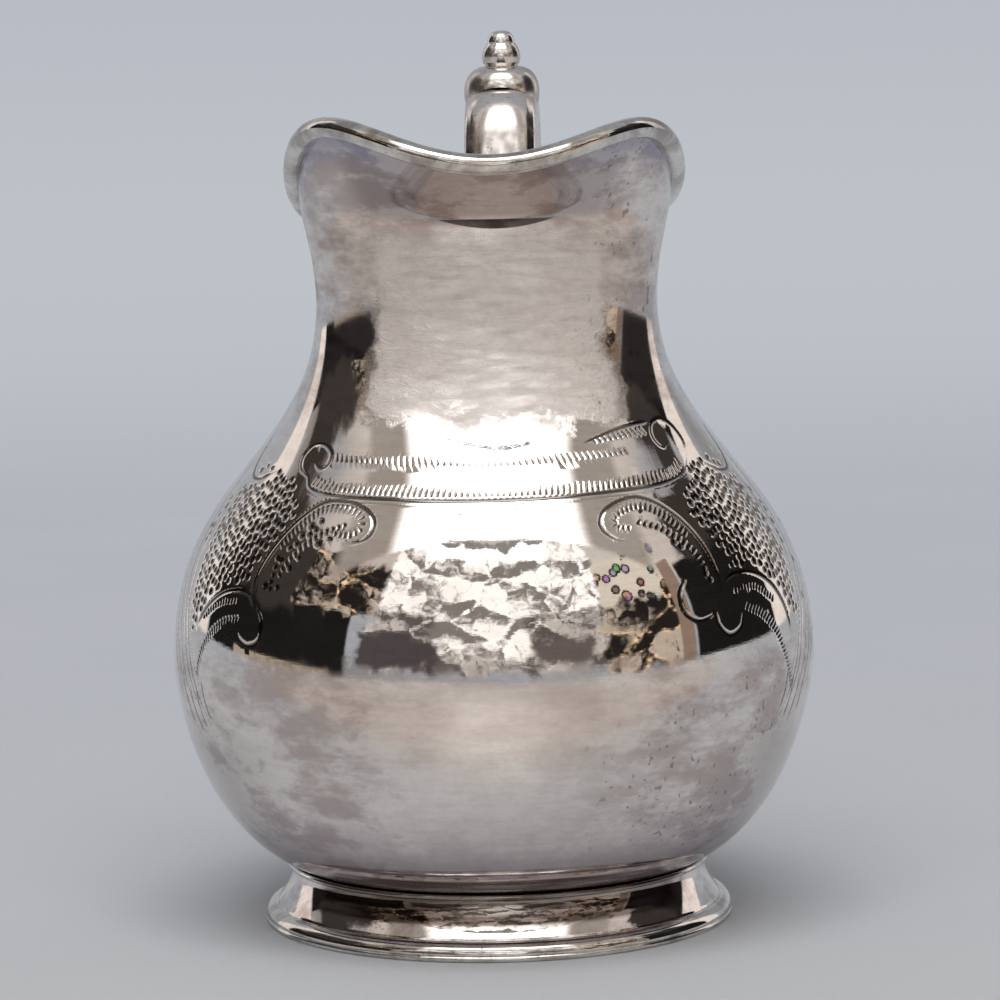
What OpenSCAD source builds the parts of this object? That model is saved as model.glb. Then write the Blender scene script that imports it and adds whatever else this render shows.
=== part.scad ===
// Silver cream jug: a pear-shaped raised body with a wide flared lip, a wire-edged rim, a spun
// pedestal foot with a wire edge, and a hollow scroll handle in two halves with a bud on its crown.
// The Z axis is the jug's upright axis, Z = 0 is the table, and the lip points towards -Y.
// Angles round the jug are measured from the lip: 0 is the lip and 180 is the handle.

/* [Body] */
// Radius of the belly at its widest
belly_r = 44.9; // [42:0.1:48]
// Height of the widest part of the belly
belly_z = 37.2; // [35:0.1:40]
// Half-width of the neck at its narrowest
neck_r = 22.55; // [21.5:0.05:24]
// Height of the narrowest part of the neck, at the handle side
neck_z = 87.9; // [86:0.1:90]
// How much higher the narrowest part is at the lip side
neck_lift = 3.1; // [1:0.1:4]
// How much squarer than a circle the front of the neck is
neck_egg = 5.65; // [2:0.05:6]
// Radius of the bowl where it sits on the foot
seat_r = 29.3; // [28:0.1:30]
// Height at which the bowl sits on the foot
seat_z = 8.55; // [8.3:0.05:9]
// Height of the middle of the bowl's underside
base_z = 5.2; // [5:0.1:6]
// Thickness of the body's metal
wall = 0.9; // [0.7:0.1:1.2]

/* [Lip] */
// Half-width of the mouth at the body's edge, beside the jug's axis
mouth_r = 25.25; // [24.5:0.05:26.5]
// How much squarer than an oval the front of the mouth is
mouth_egg = 3.1; // [1:0.1:4]
// Reach of the lip forward of the jug's axis at the body's edge
lip_reach = 35.3; // [33:0.1:37]
// Mean height of the body's edge round the mouth
rim_mean = 102.95; // [101:0.05:105]
// How much the left side of the hand-made rim stands above the right
rim_skew = 0.4; // [0:0.05:0.6]
// Height of the rim wire
wire_h = 2.85; // [2.4:0.05:3.4]
// Breadth of the rim wire
wire_b = 3.0; // [2.4:0.1:3.4]

/* [Foot] */
// Outer radius of the foot over its wire edge
foot_r = 32.95; // [32:0.05:34]
// Height of the foot's wire edge
foot_wire_h = 2.5; // [2.2:0.1:2.6]
// Narrowest radius of the foot's hollow curve
waist_r = 28.9; // [28.6:0.1:29.1]
// Thickness of the foot's metal
foot_wall = 1.0; // [0.8:0.1:1.2]

/* [Handle] */
// Turn of the whole handle about the jug's axis, as it was soldered on
handle_turn = -3.2; // [-5:0.1:5]
// Width of the handle over its crown
crown_w = 10.8; // [9:0.1:12]
// Width of the handle at its lower end
tail_w = 7.0; // [6:0.1:8]
// Thickness of the handle over its crown
crown_t = 6.4; // [5.5:0.1:7]
// Thickness of the handle at its lower end
tail_t = 4.8; // [4:0.1:5.5]
// Thickness of the handle's metal
handle_wall = 1.0; // [0.8:0.1:1.3]
// Height of the top of the bud
bud_top = 123.3; // [122:0.1:124]
// Distance of the bud from the jug's axis
bud_y = 51.5; // [50:0.1:53]

/* [Hidden] */

silver = [0.80, 0.77, 0.75];
bright_silver = [0.87, 0.86, 0.84];

around = 64; // facets round the body
step = 0.001; // step for slopes found by differences

// How the height of the body's edge rises and falls round the mouth, as a sum of cosines
rim_waves = [8.41, -0.42, -2.3, -0.92, -0.53, 0.13];

// ---- curves ----

function bez(a, b, c, d, t) =
    a * pow(1 - t, 3) + 3 * b * t * pow(1 - t, 2) + 3 * c * t * t * (1 - t) + d * t * t * t;

function arc(centre, r, from, to, n) =
    [for (i = [0 : n]) let (a = from + (to - from) * i / n) centre + r * [cos(a), sin(a)]];

function curve(p, n, first = 0) =
    [for (i = [first : n]) bez(p[0], p[1], p[2], p[3], i / n)];

// The bowl's outer profile from the seat to the belly, [radius, height]
bowl_low = [
    [seat_r, seat_z], [seat_r + 13.5, seat_z + 6.7],
    [belly_r, belly_z - 3.3], [belly_r, belly_z]
];

// ---- body surface ----

// 1 at the lip, 0 at the handle
function lean(a) = (1 + cos(a)) / 2;

function neck_z_at(a) = neck_z + neck_lift * lean(a);

shoulder = 23.1; // length of the profile's pull below the neck

// The bowl's outer profile from the belly to the neck at angle a, [radius, height]
function bowl_high(a) = [
    [belly_r, belly_z], [belly_r, belly_z + 26.4],
    [neck_r, neck_z_at(a) - shoulder], [neck_r, neck_z_at(a)]
];

function rim_z(a) =
    rim_mean - rim_skew * sin(2 * a) + rim_waves * [for (k = [1 : len(rim_waves)]) cos(k * a)];

// The neck's profile at angle a, [sideways radius, forward radius, egg, height]
function neck_curve(a, t) =
    let (
        start = neck_z_at(a),
        rise = rim_z(a) - start,
        low = start + rise * (0.22 + 0.37 * pow(lean(a), 2)),
        high = start + rise * (0.94 - 0.54 * lean(a)),
        grown = 1 + 2 / 3 * (low - start) / shoulder
    )
    bez(
        [neck_r, neck_r, neck_egg, start],
        [neck_r, neck_r, neck_egg * grown, low],
        [mouth_r + 0.6, lip_reach - 15, mouth_egg + 2.4, high],
        [mouth_r, lip_reach, mouth_egg, rim_z(a)], t
    );

// A point of a level section: round where sideways and forward agree and egg is 0
function plan(a, sideways, forward, egg, z) =
    [
        sideways * sin(a) + egg * sin(2 * a) * lean(a),
        -cos(a) * (sideways + (forward - sideways) * lean(a)),
        z
    ];

// A point of the body's outer surface: t runs 0..1 seat to belly, 1..2 to the neck, 2..3 to the lip
function skin(a, t) =
    t < 1 ? let (p = bez(bowl_low[0], bowl_low[1], bowl_low[2], bowl_low[3], t))
        plan(a, p[0], p[0], 0, p[1])
    : t < 2 ? let (
            c = bowl_high(a),
            p = bez(c[0], c[1], c[2], c[3], t - 1)
        )
        plan(a, p[0], p[0], neck_egg * pow(t - 1, 2), p[1])
    : let (p = neck_curve(a, t - 2)) plan(a, p[0], p[1], p[2], p[3]);

function unit(v) = v / norm(v);

function outward(a, t) =
    let (
        lower = min(t, 3 - step),
        up = skin(a, lower + step) - skin(a, lower),
        round = skin(a + step * 50, lower) - skin(a - step * 50, lower)
    )
    unit(cross(round, up));

// The inner surface, one wall thickness inside; its top edge is level with the outer one
function lining(a, t) =
    let (n = outward(a, t))
    t < 3 ? skin(a, t) - wall * n
    : skin(a, 3) - 1.25 * wall * unit([n[0], n[1], 0]);

// ---- meshes from rings of points ----

function band(ring_count, n) =
    [for (k = [0 : ring_count - 2]) for (i = [0 : n - 1])
        let (j = (i + 1) % n, low = k * n, high = (k + 1) * n)
        each [[low + i, high + i, high + j], [low + i, high + j, low + j]]];

// A closed skin through rings that all have n points, with a pole at each end
module lofted_shell(rings, n, first_pole, last_pole) {
    count = len(rings);
    points = [for (r = rings) each r, first_pole, last_pole];
    poles = [count * n, count * n + 1];
    ends = [for (i = [0 : n - 1]) let (j = (i + 1) % n)
        each [[poles[0], i, j], [poles[1], (count - 1) * n + j, (count - 1) * n + i]]];
    polyhedron(points, concat(band(count, n), ends), convexity = 8);
}

// A tube through rings of n points whose ends are closed flat
module lofted_bar(rings, n) {
    count = len(rings);
    polyhedron(
        [for (r = rings) each r],
        concat(
            band(count, n),
            [[for (i = [0 : n - 1]) i]],
            [[for (i = [n - 1 : -1 : 0]) (count - 1) * n + i]]
        ),
        convexity = 6
    );
}

// A ring-shaped bar: the last ring of points joins the first
module lofted_loop(rings, n) {
    count = len(rings);
    polyhedron(
        [for (r = rings) each r],
        [for (k = [0 : count - 1]) for (i = [0 : n - 1])
            let (j = (i + 1) % n, low = k * n, high = ((k + 1) % count) * n)
            each [[low + i, high + i, high + j], [low + i, high + j, low + j]]],
        convexity = 6
    );
}

// ---- body ----

low_rings = 10;
mid_rings = 12;
neck_rings = 12;

function levels(n, from) = [for (i = [0 : n - 1]) from + i / n];

outer_levels = concat(levels(low_rings, 0), levels(mid_rings, 1), levels(neck_rings, 2), [3]);
inner_levels = concat([3], [for (i = [2 : 2 : len(outer_levels) - 1])
    outer_levels[len(outer_levels) - 1 - i]]);

function ring_angles(n) = [for (i = [0 : n - 1]) 360 * i / n];

function skin_ring(t) = [for (a = ring_angles(around)) skin(a, t)];
function lining_ring(t) = [for (a = ring_angles(around)) lining(a, t)];

// The shallow dome that closes the bowl's bottom, at a fraction f of the seat's radius
function dome_ring(f, lift) =
    [for (a = ring_angles(around))
        plan(a, seat_r * f, seat_r * f, 0, base_z + lift + (seat_z - base_z) * f * f)];

module body()
color(silver)
    lofted_shell(
        concat(
            [dome_ring(0.4, 0), dome_ring(0.75, 0)],
            [for (t = outer_levels) skin_ring(t)],
            [for (t = inner_levels) lining_ring(t)],
            [dome_ring(0.75, wall), dome_ring(0.4, wall)]
        ),
        around, [0, 0, base_z], [0, 0, base_z + wall]
    );

// ---- rim wire ----

wire_stations = 80;
wire_out = 0.6; // the wire's centre outside the body's edge
wire_drop = 0.5; // the wire's centre below the body's edge

// Section of the wire about the body's edge, [outward, up]: it laps over and outside the edge
wire_section = let (
        half_b = wire_b / 2,
        half_h = wire_h / 2,
        start = -acos(-wire_out / half_b),
        end = 180 - asin(wire_drop / half_h)
    )
    concat(
        [for (i = [0 : 12]) let (a = start + (end - start) * i / 12)
            [wire_out + half_b * cos(a), -wire_drop + half_h * sin(a)]],
        [[0, 0]]
    );

function wire_ring(a) =
    let (
        edge = skin(a, 3),
        along = skin(a + 0.05, 3) - skin(a - 0.05, 3),
        away = unit([along[1], -along[0], 0])
    )
    [for (p = wire_section) edge + p[0] * away + [0, 0, p[1]]];

module rim_wire()
color(bright_silver)
    lofted_loop([for (a = ring_angles(wire_stations)) wire_ring(a)], len(wire_section));

// ---- foot ----

wire_in = foot_r - 1.55; // inner radius of the foot's wire edge
step_z = 2.75; // height of the small step above the flange
foot_low_r = wire_in - foot_wall;

// The foot's hollow curve, from the seat down to the step
cove = [[waist_r, seat_z - 0.85], [waist_r, 6.3], [waist_r + 0.85, 4.6], [31.1, step_z + 0.1]];

module foot()
color(silver)
    rotate_extrude($fn = 120)
        polygon(concat(
            [[seat_r - 1.15, seat_z - 0.26], [seat_r - 0.1, seat_z - 0.02], [seat_r - 0.1, seat_z - 0.67]],
            curve(cove, 12),
            [[31.15, foot_wire_h + 0.08], [wire_in, foot_wire_h + 0.04], [wire_in, 0], [foot_low_r, 0]],
            [for (i = [12 : -1 : 0]) let (p = bez(cove[0], cove[1], cove[2], cove[3], i / 12))
                [p[0] - 1.05 - 0.45 * i / 12, p[1] - 0.9 * i / 12]]
        ));

module foot_wire()
color(bright_silver)
    rotate_extrude($fn = 120)
        polygon(concat(
            [[wire_in, 0]],
            arc([foot_r - 0.45, 0.45], 0.45, -90, 50, 6),
            [for (i = [0 : 10]) let (a = 9 * i)
                [wire_in + (foot_r - 0.05 - wire_in) * cos(a), 0.95 + (foot_wire_h - 0.95) * sin(a)]]
        ));

module seam_ring()
color(bright_silver)
    rotate_extrude($fn = 120)
        polygon(arc([seat_r - 0.1, seat_z - 0.47], 0.4, -90, 90, 8));

// ---- handle ----

// The handle's middle line in its own plane, [distance from the axis, height]
handle_path = [
    [[neck_r + 1.1, 87.4], [33.0, 87.6], [39.8, 92.0], [41.4, 100.0]],
    [[41.4, 100.0], [42.7, 106.5], [44.3, 112.4], [bud_y, 112.6]],
    [[bud_y, 112.6], [61.6, 112.9], [73.8, 103.6], [74.0, 90.0]],
    [[74.0, 90.0], [74.2, 76.5], [48.4, 60.0], [47.4, 46.5]]
];
handle_steps = 9; // stations on each of the four stretches

function path_point(path, s) =
    let (k = min(floor(s), len(path) - 1), p = path[k]) bez(p[0], p[1], p[2], p[3], s - k);

function path_across(path, s) =
    let (
        lower = min(max(s, step), len(path) - step),
        d = unit(path_point(path, lower + step) - path_point(path, lower - step))
    )
    [-d[1], d[0]];

// Half-width and half-thickness along the handle, s = 0 at the neck and 4 at the belly
function half_width(s) =
    s < 1 ? bez(4.6, 4.9, crown_w / 2, crown_w / 2, s)
    : s < 2 ? crown_w / 2
    : bez(crown_w, crown_w, tail_w + 1, tail_w, (s - 2) / 2) / 2;
function half_thick(s) =
    s < 2 ? crown_t / 2
    : bez(crown_t, crown_t, tail_t + 0.6, tail_t, (s - 2) / 2) / 2;

section_steps = 8;

// Points of a half section on the +X side, from its outer edge round to its inner edge
function half_oval(s, inset, flip) =
    [for (i = [0 : section_steps])
        let (
            a = flip ? -90 + 180 * i / section_steps : 90 - 180 * i / section_steps,
            w = (half_width(s) - inset) * cos(a),
            h = (half_thick(s) - inset) * sin(a),
            c = path_point(handle_path, s),
            n = path_across(handle_path, s)
        )
        [w, c[0] + h * n[0], c[1] + h * n[1]]];

module handle_half()
lofted_bar(
    [for (k = [0 : 4 * handle_steps]) let (s = k / handle_steps)
        concat(half_oval(s, 0, false), half_oval(s, handle_wall, true))],
    2 * (section_steps + 1)
);

module handle_right_half()
color(silver) rotate([0, 0, handle_turn]) handle_half();

module handle_left_half()
color(silver) rotate([0, 0, handle_turn]) mirror([1, 0, 0]) handle_half();

// The radius of the body at the height z on its handle side, where its sections are nearly round
function bowl_r_at(z, low = 0, high = 1, n = 24) =
    let (
        mid = (low + high) / 2,
        c = bowl_high(180),
        p = bez(c[0], c[1], c[2], c[3], mid)
    )
    n == 0 ? p[0] : p[1] < z ? bowl_r_at(z, mid, high, n - 1) : bowl_r_at(z, low, mid, n - 1);

function neck_back_r_at(z, low = 0, high = 1, n = 24) =
    let (mid = (low + high) / 2, p = neck_curve(180, mid))
    n == 0 ? p[0]
    : p[3] < z ? neck_back_r_at(z, mid, high, n - 1) : neck_back_r_at(z, low, mid, n - 1);

function body_r_at(z) = z < neck_z ? bowl_r_at(z) : neck_back_r_at(z);

function on_body(x, z) = [x, sqrt(pow(body_r_at(z), 2) - x * x) + 0.02, z];

plate_steps = 24;

module mount_plate(back, front, back_pole, front_pole) {
    middle = [for (i = [0 : plate_steps - 1])
        0.4 * back[i] + 0.6 * front[i] + 0.12 * (back[i] - back_pole)];
    lofted_shell([back, middle, front], plate_steps, back_pole, front_pole);
}

// Round the root of the handle, whose flat end faces the neck
module handle_upper_mount() {
    angles = ring_angles(plate_steps);
    end = path_point(handle_path, 0);
    across = path_across(handle_path, 0);
    back = [for (a = angles) on_body(6.4 * cos(a), end[1] + 5.0 * sin(a))];
    front = [for (a = angles)
        let (h = (half_thick(0) + 0.4) * sin(a))
        [(half_width(0) + 0.4) * cos(a), end[0] + h * across[0], end[1] + h * across[1]]];
    color(silver) rotate([0, 0, handle_turn])
        mount_plate(back, front, on_body(0, end[1]), [0, end[0], end[1]]);
}

// A point of the handle's inner side, at the distance x from its middle
function inner_side(x, s) =
    let (
        c = path_point(handle_path, s),
        n = path_across(handle_path, s),
        h = half_thick(s) * sqrt(1 - pow(x / half_width(s), 2))
    )
    [x, c[0] - h * n[0], c[1] - h * n[1]];

// Between the belly and the inner side of the handle's lower end
module handle_lower_mount() {
    angles = ring_angles(plate_steps);
    front = [for (a = angles) inner_side(2.8 * cos(a), 3.925 - 0.065 * sin(a))];
    front_pole = inner_side(0, 3.925);
    back = [for (a = angles) on_body(4.2 * cos(a), front_pole[2] + 3.8 * sin(a))];
    color(silver) rotate([0, 0, handle_turn])
        mount_plate(back, front, on_body(0, front_pole[2]), front_pole);
}

// ---- tail scroll ----

// The curl below the handle's lower end, [distance from the axis, height]
tail_path = [
    [[47.4, 46.5], [47.0, 41.0], [50.0, 36.8], [54.4, 38.2]],
    [[54.4, 38.2], [58.4, 39.5], [57.6, 45.2], [54.0, 44.4]]
];
tail_steps = 9;
tail_sides = 12;

function tail_half(s) = bez(tail_t / 2, tail_t / 2, 1.7, 1.3, s / 2);
function tail_breadth(s) = bez(tail_w / tail_t, 1.35, 1.1, 1.1, s / 2);

module tail_scroll()
color(silver) rotate([0, 0, handle_turn])
    lofted_bar(
        [for (k = [0 : 2 * tail_steps])
            let (
                s = k / tail_steps,
                c = path_point(tail_path, s),
                n = path_across(tail_path, s),
                r = tail_half(s)
            )
            [for (i = [0 : tail_sides - 1]) let (a = -360 * i / tail_sides)
                [tail_breadth(s) * r * sin(a), c[0] + r * cos(a) * n[0], c[1] + r * cos(a) * n[1]]]],
        tail_sides
    );

// ---- bud ----

cap_z = bud_top - 5.3; // top of the cap, under the finial

module bud_cap()
color(silver) rotate([0, 0, handle_turn])
    difference() {
        translate([0, bud_y, 0])
            rotate_extrude($fn = 72)
                polygon(concat(
                    [[0, cap_z - 5.8], [5.2, cap_z - 5.8]],
                    curve([[5.55, cap_z - 5.2], [5.8, cap_z - 3.7], [5.7, cap_z - 1.6],
                        [4.2, cap_z - 0.6]], 8),
                    curve([[4.2, cap_z - 0.6], [3.6, cap_z - 0.2], [3.0, cap_z], [2.5, cap_z]], 4, 1),
                    [[0, cap_z]]
                ));
        lofted_bar(
            [for (k = [handle_steps : 3 * handle_steps]) let (s = k / handle_steps)
                concat(
                    half_oval(s, 0, false),
                    [for (p = [for (i = [section_steps - 1 : -1 : 1]) half_oval(s, 0, false)[i]])
                        [-p[0], p[1], p[2]]]
                )],
            2 * section_steps
        );
    }

module bud_finial()
color(bright_silver) rotate([0, 0, handle_turn]) translate([0, bud_y, 0])
    rotate_extrude($fn = 72)
        polygon(concat(
            [[0, cap_z], [2.5, cap_z]],
            curve([[2.75, cap_z + 0.4], [3.1, cap_z + 1.3], [2.9, cap_z + 2.4], [2.15, cap_z + 3.3]], 8),
            curve([[2.15, cap_z + 3.3], [1.95, cap_z + 3.6], [2.0, cap_z + 5.3], [0, cap_z + 5.3]], 8, 1)
        ));

body();
rim_wire();
foot();
foot_wire();
seam_ring();
handle_left_half();
handle_right_half();
handle_upper_mount();
handle_lower_mount();
tail_scroll();
bud_cap();
bud_finial();
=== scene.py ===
"""Looks of a silver cream jug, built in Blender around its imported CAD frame.

Lengths inside the modelling functions are millimetres and angles are measured round the jug from the
lip: 0 is the lip (-Y), +90 degrees is +X, and 180 degrees is the handle (+Y).
"""

import math

import bpy
import numpy as np
from mathutils import Euler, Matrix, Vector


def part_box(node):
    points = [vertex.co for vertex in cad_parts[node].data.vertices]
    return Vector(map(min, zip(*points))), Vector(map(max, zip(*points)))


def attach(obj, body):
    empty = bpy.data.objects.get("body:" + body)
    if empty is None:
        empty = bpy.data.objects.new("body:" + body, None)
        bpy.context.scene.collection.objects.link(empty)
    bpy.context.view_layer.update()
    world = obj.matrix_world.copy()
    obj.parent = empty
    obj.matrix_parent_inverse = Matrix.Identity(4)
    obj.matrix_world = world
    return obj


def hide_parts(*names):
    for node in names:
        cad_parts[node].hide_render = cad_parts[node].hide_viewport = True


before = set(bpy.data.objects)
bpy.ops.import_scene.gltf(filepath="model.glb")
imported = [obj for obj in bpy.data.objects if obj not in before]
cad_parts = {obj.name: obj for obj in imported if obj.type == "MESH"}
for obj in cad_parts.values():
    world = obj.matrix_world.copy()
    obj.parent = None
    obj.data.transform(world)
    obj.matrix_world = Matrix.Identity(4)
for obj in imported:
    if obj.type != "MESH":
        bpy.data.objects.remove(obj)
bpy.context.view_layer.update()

MM = 0.001
TURN = 2 * math.pi


def half_width_x(node):
    """Half the width of a CAD node along X, in millimetres."""
    low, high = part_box(node)
    return (high.x - low.x) / 2 / MM


# ---------------------------------------------------------------- dimensions, millimetres

BELLY_R = half_width_x("body")      # greatest radius of the belly
FOOT_R = half_width_x("foot_wire")  # outside of the wire round the foot
TOP_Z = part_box("bud_finial")[1].z / MM
BELLY_Z = 37.2      # height of the greatest radius
NECK_R = 22.55      # half-width of the neck at its narrowest
NECK_Z = 87.9       # its height at the handle side
NECK_LIFT = 3.1     # how much higher it is at the lip side
NECK_EGG = 5.65     # how much squarer than a circle its front is
BELLY_PULL = 26.4   # lengths of the profile's pulls between belly and neck
SHOULDER_PULL = 23.1
SEAT_R = 29.3       # where the bowl sits on the foot
SEAT_Z = 8.55
BASE_Z = 5.2        # middle of the domed underside
WALL = 0.9
MOUTH_R = 25.25
MOUTH_EGG = 3.1
LIP_REACH = 35.3
RIM_MEAN = 102.95
RIM_SKEW = 0.4
RIM_WAVES = (8.41, -0.42, -2.3, -0.92, -0.53, 0.13)

WIRE_OUT = 0.6      # middle of the rim wire from the body's edge
WIRE_DOWN = 0.5
WIRE_HALF_H = 1.42
WIRE_HALF_B = 1.5

FOOT_COVE = ((28.9, 7.7), (28.9, 6.3), (29.75, 4.6), (31.1, 2.85))
SKIRT_R = 31.4      # outside of the foot's skirt, inside its edge wire
WIRE_TOP = 2.5      # top of the wire round the foot

HANDLE_TURN = math.radians(-3.2)
MOUNT_COLUMNS = 64
BUD_Y = 51.5
CAP_TOP_Z = 118.0

# Fine lattice of the body's skin: CELL fine steps make one coarse cell.
CELL = 6
COARSE_COLUMNS = 216
COARSE_ROW = 1.3
LINING_ROWS = 44
SHALLOWEST_CUT = 0.004
PATH_PITCH = 0.13


# ---------------------------------------------------------------- curves and surfaces

def bezier(points, t):
    """Cubic Bezier through four values or points at t."""
    a, b, c, d = (np.asarray(p, float) for p in points)
    t = np.asarray(t, float)
    return mixed(a, b, c, d, t[..., None] if a.ndim else t)


def mixed(a, b, c, d, t):
    """Cubic Bezier of numbers or arrays of them, each at its own t."""
    s = 1 - t
    return a * s**3 + 3 * b * s * s * t + 3 * c * s * t * t + d * t**3


def lean(a):
    """1 at the lip, 0 at the handle."""
    return (1 + np.cos(a)) / 2


def rim_height(a):
    waves = sum(w * np.cos((k + 1) * a) for k, w in enumerate(RIM_WAVES))
    return RIM_MEAN - RIM_SKEW * np.sin(2 * a) + waves


def skin(a, s):
    """Outer surface of the body. s runs 0-1 under the foot, 1-3 up the bowl and 3-4 up the neck."""
    a, s = np.broadcast_arrays(np.asarray(a, float), np.asarray(s, float))
    dome = np.clip(s, 0, 1)
    low = np.clip(s - 1, 0, 1)
    high = np.clip(s - 2, 0, 1)
    up = np.clip(s - 3, 0, 1)
    radius = SEAT_R * dome
    height = BASE_Z + (SEAT_Z - BASE_Z) * dome**2
    in_low = (s > 1) & (s <= 2)
    in_high = (s > 2) & (s <= 3)
    radius = np.where(in_low, bezier((SEAT_R, SEAT_R + 13.5, BELLY_R, BELLY_R), low), radius)
    height = np.where(in_low, bezier((SEAT_Z, SEAT_Z + 6.7, BELLY_Z - 3.3, BELLY_Z), low), height)
    start = NECK_Z + NECK_LIFT * lean(a)
    radius = np.where(in_high, bezier((BELLY_R, BELLY_R, NECK_R, NECK_R), high), radius)
    bowl = mixed(BELLY_Z, BELLY_Z + BELLY_PULL, start - SHOULDER_PULL, start, high)
    height = np.where(in_high, bowl, height)
    rise = rim_height(a) - start
    lower = start + rise * (0.22 + 0.37 * lean(a)**2)
    upper = start + rise * (0.94 - 0.54 * lean(a))
    grown = 1 + 2 / 3 * (lower - start) / SHOULDER_PULL
    in_neck = s > 3
    side = np.where(in_neck, mixed(NECK_R, NECK_R, MOUTH_R + 0.6, MOUTH_R, up), radius)
    ahead = np.where(in_neck, mixed(NECK_R, NECK_R, LIP_REACH - 15, LIP_REACH, up), radius)
    egg = np.where(in_neck, mixed(NECK_EGG, NECK_EGG * grown, MOUTH_EGG + 2.4, MOUTH_EGG, up),
                   NECK_EGG * high**2)
    height = np.where(in_neck, mixed(start, lower, upper, rim_height(a), up), height)
    x = side * np.sin(a) + egg * np.sin(2 * a) * lean(a)
    y = -np.cos(a) * (side + (ahead - side) * lean(a))
    return np.stack((x, y, height), axis=-1)


def unit(v):
    return v / np.maximum(np.linalg.norm(v, axis=-1, keepdims=True), 1e-12)


def skin_frame(a, s):
    """Point, outward normal and the two tangents of the skin."""
    step = 1e-4
    s = np.clip(s, 0.01, 4)
    round_ = skin(a + step, s) - skin(a - step, s)
    above = np.minimum(s + step, 4)
    below = np.maximum(s - step, 0.005)
    along = skin(a, above) - skin(a, below)
    return skin(a, s), unit(np.cross(round_, along)), unit(round_), unit(along)


def even_rows():
    """Values of s at even steps of CELL per COARSE_ROW millimetres up the side of the skin."""
    s = np.concatenate((np.linspace(0.02, 1, 300), np.linspace(1, 4, 2401)[1:]))
    p = skin(np.full_like(s, math.pi / 2), s)
    length = np.concatenate(([0], np.cumsum(np.linalg.norm(np.diff(p, axis=0), axis=1))))
    count = CELL * int(math.ceil(length[-1] / COARSE_ROW))
    return np.interp(np.linspace(0, length[-1], count + 1), length, s), length[-1] / count


ROW_S, ROW_MM = even_rows()
COLUMNS = CELL * COARSE_COLUMNS
COLUMN_A = np.arange(COLUMNS) * TURN / COLUMNS


def bowl_lookup():
    """Fine rows, heights and radii of the bowl, where the engraving is."""
    p = skin(np.full_like(ROW_S, math.pi / 2), ROW_S)
    inside = (ROW_S > 1) & (ROW_S < 3)
    return np.nonzero(inside)[0], p[inside, 2], p[inside, 0]


BOWL_ROWS, BOWL_Z, BOWL_R = bowl_lookup()


def row_at(z):
    return np.interp(z, BOWL_Z, BOWL_ROWS)


def radius_at(z):
    return np.interp(z, BOWL_Z, BOWL_R)


# ---------------------------------------------------------------- mesh builders

def new_object(name, points, faces, material, normals=None):
    """A smooth mesh object from points in millimetres."""
    mesh = bpy.data.meshes.new(name)
    mesh.from_pydata((np.asarray(points) * MM).tolist(), [], faces)
    mesh.polygons.foreach_set("use_smooth", [True] * len(mesh.polygons))
    mesh.materials.append(material)
    mesh.update()
    if normals is not None:
        mesh.normals_split_custom_set_from_vertices(normals.tolist())
    obj = bpy.data.objects.new(name, mesh)
    bpy.context.scene.collection.objects.link(obj)
    return obj


def grid_faces(rows, columns):
    """Quads of a grid of rows of points, closed round the columns."""
    i, j = np.meshgrid(np.arange(rows - 1), np.arange(columns), indexing="ij")
    k = (j + 1) % columns
    quads = np.stack((i * columns + j, i * columns + k, (i + 1) * columns + k, (i + 1) * columns + j), -1)
    return quads.reshape(-1, 4).tolist()


def closed_tube(grid):
    """Points and faces of a tube from rows of points, with both ends closed."""
    rows, columns = grid.shape[:2]
    faces = grid_faces(rows, columns)
    faces.append(list(range(columns))[::-1])
    faces.append([(rows - 1) * columns + j for j in range(columns)])
    return grid.reshape(-1, 3), faces


def ring_tube(grid):
    """Points and faces of a closed ring, such as a wire: both directions join up."""
    rows, columns = grid.shape[:2]
    i, j = np.meshgrid(np.arange(rows), np.arange(columns), indexing="ij")
    m, k = (i + 1) % rows, (j + 1) % columns
    quads = np.stack((i * columns + j, i * columns + k, m * columns + k, m * columns + j), -1)
    return grid.reshape(-1, 3), quads.reshape(-1, 4).tolist()


def ring_angles(count):
    return np.arange(count) * TURN / count


def lathe_grid(profile, columns=256):
    """Rows of points of a profile [(radius, z)...] turned round the jug's axis."""
    profile = np.asarray(profile, float)
    a = ring_angles(columns)
    r, z = profile[:, 0:1], profile[:, 1:2]
    return np.stack((r * np.sin(a), -r * np.cos(a), z + 0 * a), -1)


def place(obj, node):
    """Hangs a piece on the jug's one body and hides the CAD node that it stands in for."""
    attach(obj, "root")
    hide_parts(node)
    return obj


# ---------------------------------------------------------------- engraving

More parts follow.
